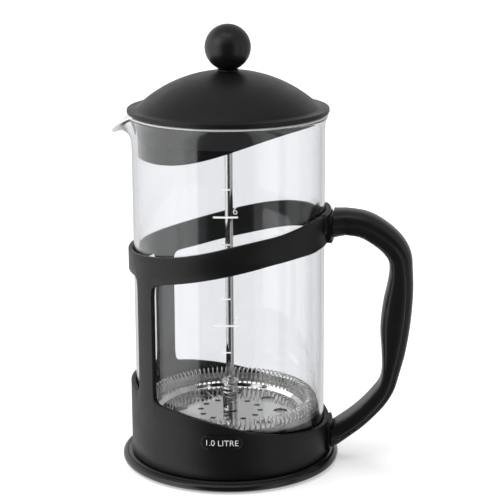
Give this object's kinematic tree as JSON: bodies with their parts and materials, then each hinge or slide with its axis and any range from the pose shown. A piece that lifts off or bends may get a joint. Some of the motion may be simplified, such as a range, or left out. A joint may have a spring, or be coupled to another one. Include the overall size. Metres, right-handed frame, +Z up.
{
  "type": "french press",
  "caption": "Plunger coffee maker: glass beaker with a spout in a slanted holder with a side handle, domed lid, ball knob, rod and spring-edged filter.",
  "frame": {"origin": "centre of the foot's flat underside, on the axis of the beaker and the plunger", "axes": "+Z up along the plunger rod, +X towards the handle, -X towards the spout"},
  "size_m": [0.1526, 0.112, 0.2252],
  "materials": {
    "holder_plastic": "satin black moulded polypropylene",
    "foot_plastic": "black moulded plastic, glossier than the holder",
    "badge_plastic": null,
    "handle_plastic": "satin black moulded plastic",
    "lid_plastic": "fine-grained matte black plastic",
    "skirt_plastic": "smooth black plastic",
    "bush_plastic": "smooth",
    "knob_plastic": "satin black ball",
    "beaker_glass": "clear borosilicate glass with white printed marks",
    "rod_steel": "polished stainless steel",
    "plate_steel": "bright pressed stainless steel",
    "coil_steel": "bright spring wire",
    "gauze_steel": "fine woven stainless gauze",
    "fastener_steel": "plated steel",
    "insert_brass": "turned"
  },
  "bodies": {
    "holder": {"frame": "holder_plastic", "foot": "foot_plastic", "capacity_badge": "badge_plastic", "handle": "handle_plastic", "handle_screw_upper": "fastener_steel", "handle_screw_lower": "fastener_steel"},
    "beaker": {"beaker": "beaker_glass"},
    "bush": {"lid_bush": "bush_plastic", "bush_nut": "fastener_steel"},
    "lid": {"lid_dome": "lid_plastic", "lid_skirt": "skirt_plastic"},
    "plunger": {"knob": "knob_plastic", "knob_insert": "insert_brass", "plunger_rod": "rod_steel", "rod_collar": "plate_steel", "plate_hub": "plate_steel", "spiral_plate": "plate_steel", "coil_spring": "coil_steel", "mesh_filter": "gauze_steel", "cross_plate": "plate_steel", "cross_plate_nut": "plate_steel"}
  },
  "joints": [
    {"name": "beaker_lift", "type": "slide", "parent": "holder", "child": "beaker", "axis": [0, 0, 1], "range_m": [0, 0.14]},
    {"name": "lid_lift", "type": "slide", "parent": "beaker", "child": "bush", "axis": [0, 0, 1], "range_m": [0, 0.18]},
    {"name": "lid_turn", "type": "hinge", "parent": "bush", "child": "lid", "pos_m": [0, 0, 0.19], "axis": [0, 0, 1], "continuous": true},
    {"name": "plunger_slide", "type": "slide", "parent": "bush", "child": "plunger", "axis": [0, 0, 1], "range_m": [0, 0.124]}
  ]
}
